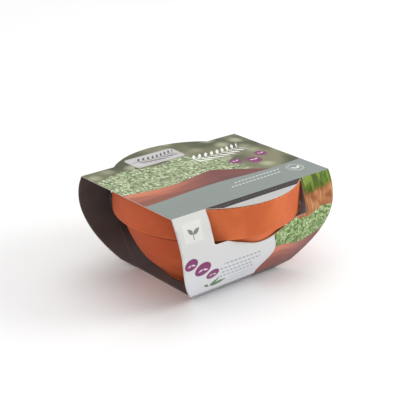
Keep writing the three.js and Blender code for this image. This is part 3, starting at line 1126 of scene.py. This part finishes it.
def front_tab_print(card, at, x, across):
    """The front tab: a dark dotted stripe along the fold, plain pale card past it."""
    fleck = card.noise(at, 0.5, 1.0).ramp(0.3, 0.7)
    row = (across - TOP_FOLD - 4.4).size().ramp(1.0, 0.6)
    dots = x.zigzag(2.1).ramp(0.9, 0.4) * row * fleck
    stripe = card.blend((46, 37, 37), (108, 98, 97), dots)
    return card.blend((186, 186, 184), stripe, across.ramp(TOP_FOLD + 8.7, TOP_FOLD + 8.5))


def base_print_and_crease_shade(card, colour, x, v, across):
    """Adds painted shade on the strip from the crease to the bottom fold, darker towards the right, and
    the pale bottom panel with its glue seam.
    """
    shaded_strip = across.within(CREASE - 1.4, BOTTOM_FOLD - 0.2, 0.4)
    base = across.ramp(BOTTOM_FOLD - 0.2, BOTTOM_FOLD + 0.2)
    seam = (across - (GLUE_SEAM - 14.0)).size().ramp(0.3, 0.12) * v.ramp(0.0, 1.0)
    return card.paint(
        colour,
        # painted shade on the crease strip, which faces down
        ((92, 88, 90), shaded_strip * (x.ramp(-50.0, 30.0) * 0.25 + 0.5)),
        ((204, 204, 201), base),
        ((168, 166, 160), seam * base * 0.8),
    )


def lip_print_and_painted_light(card, x, v):
    """The folded-in lips: bluish grey, with painted light that makes them paler towards the bowl and
    towards the top, where they lie in shade.
    """
    # Painted light: the lips paler towards the top and, below, towards the bowl
    painted_light_near_top = v.ramp(LIP_PATCH_START + 6.0, LIP_PATCH_START + 18.0) * x.ramp(0.5, 6.0)
    return card.paint(
        (150, 164, 166), ((206, 232, 236), x.ramp(1.0, 11.0)), ((240, 248, 250), painted_light_near_top)
    )


def printed_card():
    """The coated, printed outer face of the board, with painted shade on the crease strip and painted
    light on the side panels and the lips.
    """
    card = Surface("printed card", 0.42, 0.18)
    at = card.flat_place()
    x, v, _ = card.split(at)
    across = v.size()
    as_read = x * (v.ramp(0.01, -0.01) * 2.0 - 1.0)
    leaves = leaf_bed(card, at)
    past_fold = across.ramp(TOP_FOLD - 0.1, TOP_FOLD + 0.1)
    tab = card.length(at).ramp(TAB_RADIUS + 0.1, TAB_RADIUS) * past_fold
    colour = card.paint(
        top_print(card, at, leaves),
        (side_print(card, at, as_read, across, leaves), past_fold * (1.0 - tab)),
        (front_tab_print(card, at, x, across), tab * v.ramp(0.0, -1.0)),
    )
    colour = base_print_and_crease_shade(card, colour, as_read, v, across)
    colour = card.blend(colour, lip_print_and_painted_light(card, x, v), past_border(v))
    rub = card.noise(at, 0.9, 3.0).ramp(0.45, 0.75)
    fold = (across - TOP_FOLD).size().ramp(0.45, 0.1)
    for crease in (BOTTOM_FOLD, CREASE):
        fold = fold + (across - crease).size().ramp(0.5, 0.1)
    card.colour(card.blend(colour, (206, 198, 190), fold * rub * (1.0 - tab) * 0.5))
    card.roughness(card.noise(at, 0.05, 2.0).ramp(0.2, 0.8) * 0.08 + 0.36)
    card.relief(card.noise(at, 1.6, 2.0), 0.012)
    return card.material


def board_back():
    """The uncoated inner face of the board: dark grey-brown with fine fibre flecks, and painted light
    that makes it paler towards the bottom.
    """
    board = Surface("grey board back", 0.85, 0.25)
    at = board.object_place()
    x, y, z = board.split(at)
    cloud = board.noise(at, 0.05, 3.0)
    # Share of painted light, most away from the open ends
    deep = x.size().ramp(56.0, 30.0) * 0.6 + 0.4
    fleck = board.noise(board.move(at, (1.2, 2.6, 2.6)), 1.0, 3.0)
    score = (x + 49.0).size().ramp(0.9, 0.3) * y.ramp(20.0, 30.0) * z.within(2.0, 33.0, 3.0)
    colour = board.paint(
        (82, 73, 71),
        ((92, 82, 79), cloud.ramp(0.3, 0.7)),
        # painted light: paler towards the bottom
        ((134, 130, 131), z.ramp(36.0, 4.0) * deep),
        ((140, 126, 118), fleck.ramp(0.62, 0.74) * 0.5),
        ((66, 56, 54), fleck.ramp(0.36, 0.28) * 0.5),
        ((140, 134, 130), score * 0.3),
    )
    board.colour(colour)
    board.relief(fleck, 0.03)
    return board.material


def board_edge():
    """The die-cut edge: pale layered fibres, dark on the printed lips."""
    board = Surface("cut board edge", 0.8, 0.3)
    layers = board.noise(board.move(board.object_place(), (2.0, 2.0, 2.0)), 1.0, 3.0)
    lip = past_border(board.split(board.flat_place())[1])
    colour = board.paint(
        (188, 172, 160), ((214, 202, 192), layers.ramp(0.3, 0.7)), ((72, 64, 60), lip)
    )
    board.colour(colour)
    board.relief(layers, 0.04)
    return board.material


def terracotta_plastic():
    """Moulded plastic in clay colour: streaked rings, soft mottling and a paler worn rim, with painted
    shade at the open ends and under the band, painted light on the body in the window and a painted
    highlight on the bead.
    """
    clay = Surface("terracotta plastic", 0.55, 0.08)
    at = clay.object_place()
    x, _, z = clay.split(at)
    mottle = clay.noise(at, 0.035, 4.0)
    rings = clay.noise(clay.move(at, (0.012, 0.012, 0.9)), 1.0, 3.0)
    cloud = clay.noise(clay.move(at, (0.05, 0.05, 0.09), (7.0, 3.0, 1.0)), 1.0, 3.0)
    specks = clay.noise(at, 0.8, 2.0)
    body = z.ramp(STEP_HEIGHT, STEP_HEIGHT - 1.0)
    # Share towards the open ends, which lie in shade; painted shade goes there
    ends = x.size().ramp(44.0, 70.0)
    worn = z.ramp(RIM_TOP - 2.4, RIM_TOP - 0.6) * clay.noise(at, 0.3, 2.0).ramp(0.4, 0.7)
    # A painted highlight along the bead at the band's lower edge
    bead = z.within(64.4, 65.2, 0.3) * 0.2
    # A painted shadow on the body just under the band, reaching lower towards the open ends
    line = z.ramp(60.0, 61.0) * 0.3 + z.ramp(57.8, 59.6) * ends * 0.45
    colour = clay.paint(
        (192, 94, 54),
        ((209, 111, 66), mottle.ramp(0.3, 0.7)),
        ((160, 72, 40), rings.ramp(0.55, 0.8) * (body * 0.6 + 0.06)),
        ((214, 122, 78), rings.ramp(0.42, 0.25) * (body * 0.4 + 0.05)),
        # painted shade: the body darker towards the open ends
        ((176, 74, 42), body * ends * 0.4),
        # painted light: the body paler where it shows in the window, against the shade under the band
        ((234, 130, 88), body * (1.0 - ends) * z.ramp(46.0, 53.0) * 0.5),
        # painted shade: darker and redder towards the open ends
        ((184, 78, 50), ends * 0.5),
        ((210, 116, 74), cloud.ramp(0.55, 0.75) * 0.4),
        ((142, 62, 36), specks.ramp(0.7, 0.78) * 0.35),
        # paler where the rim top is worn, and a painted highlight on the bead
        ((224, 140, 98), (worn * 0.5).most(bead)),
        # painted shadow under the band
        ((108, 44, 30), line * z.ramp(63.6, 63.2)),
    )
    clay.colour(colour)
    clay.roughness(mottle.ramp(0.2, 0.8) * 0.12 + 0.48)
    clay.relief(rings * body * 0.7 + clay.noise(at, 0.5, 3.0) * 0.3, 0.1)
    return clay.material


def pressed_coir():
    """Dark crumbly fibre with paler strands."""
    coir = Surface("pressed coir", 0.95, 0.2)
    at = coir.object_place()
    crumb = coir.noise(at, 0.9, 5.0, 0.65)
    strands = coir.noise(coir.move(at, (0.25, 2.4, 0.25)), 1.0, 3.0)
    colour = coir.paint(
        (48, 32, 22),
        ((112, 80, 54), crumb.ramp(0.3, 0.7)),
        ((170, 132, 92), strands.ramp(0.6, 0.72) * 0.7),
    )
    coir.colour(colour)
    coir.relief(crumb, 0.6)
    return coir.material


def sachet_paper():
    """Uncoated off-white paper, a little toned where it was sealed."""
    paper = Surface("sachet paper", 0.8, 0.3)
    at = paper.object_place()
    fibre = paper.noise(paper.move(at, (0.8, 2.2, 1.0)), 1.0, 4.0)
    inner = SACHET_SIZE[0] / 2 - SACHET_SEAM_WIDTH
    seam = paper.split(at)[0].size().ramp(inner - 0.4, inner + 0.4)
    colour = paper.paint(
        (222, 216, 200), ((238, 233, 220), fibre.ramp(0.3, 0.7)), ((208, 198, 176), seam * 0.5)
    )
    paper.colour(colour)
    paper.relief(fibre, 0.05)
    return paper.material



def studio_floor():
    sides = ((-1, -1), (1, -1), (1, 1), (-1, 1))
    corners = [(x * FLOOR_REACH, y * FLOOR_REACH, 0.0) for x, y in sides]
    paint = Surface("pale floor", 0.9, 0.1)
    cloud = paint.noise(paint.object_place(), 0.002, 2.0)
    paint.colour(paint.blend((247, 247, 247), (250, 250, 250), cloud))
    floor = make_piece("studio_floor", corners, [(0, 1, 2, 3)], [paint.material])


def soft_light(name, place, size, power):
    lamp = bpy.data.lights.new(name, "AREA")
    lamp.shape = "DISK"
    lamp.size = size
    lamp.energy = power
    light = bpy.data.objects.new(name, lamp)
    light.location = place
    light.rotation_euler = (KIT_MIDDLE - Vector(place)).to_track_quat("-Z", "Y").to_euler()
    bpy.context.scene.collection.objects.link(light)


def studio():
    """A white room: pale floor, light all round, a large soft lamp above and one at the right."""
    scene = bpy.context.scene
    scene.view_settings.view_transform = "Standard"
    world = bpy.data.worlds.new("white studio")
    world.use_nodes = True
    backdrop = world.node_tree.nodes["Background"]
    backdrop.inputs["Color"].default_value = (1.0, 1.0, 1.0, 1.0)
    backdrop.inputs["Strength"].default_value = 0.8
    scene.world = world
    soft_light("lamp above", (0.3, 0.2, 2.2), 1.8, 11)
    soft_light("lamp at the right", (1.6, -1.3, 1.2), 1.2, 20)
    studio_floor()


def camera():
    """Stands where the photograph was taken from."""
    view = bpy.data.cameras.new("camera")
    view.lens = CAMERA_LENS
    view.sensor_width = CAMERA_SENSOR
    view.clip_start = 0.01
    holder = bpy.data.objects.new("camera", view)
    holder.location = CAMERA_PLACE
    holder.rotation_euler = (math.radians(90 - CAMERA_DOWN), 0.0, math.radians(CAMERA_TURN))
    bpy.context.scene.collection.objects.link(holder)
    bpy.context.scene.camera = holder


def kit():
    """The four pieces, each riding on the body and standing for its solid."""
    sleeve = card_sleeve([printed_card(), board_back(), board_edge()])
    bowl = growing_bowl(terracotta_plastic())
    disc = coir_disc(pressed_coir())
    sachet = seed_sachet(sachet_paper())
    rows = (
        (sleeve, "card_sleeve", "printed_card"),
        (bowl, "growing_bowl", "terracotta_plastic"),
        (disc, "coir_disc", "pressed_coir"),
        (sachet, "seed_sachet", "sachet_paper"),
    )
    for piece, node, slot in rows:
        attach(piece, "root")
        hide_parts(node)


camera()
kit()
studio()
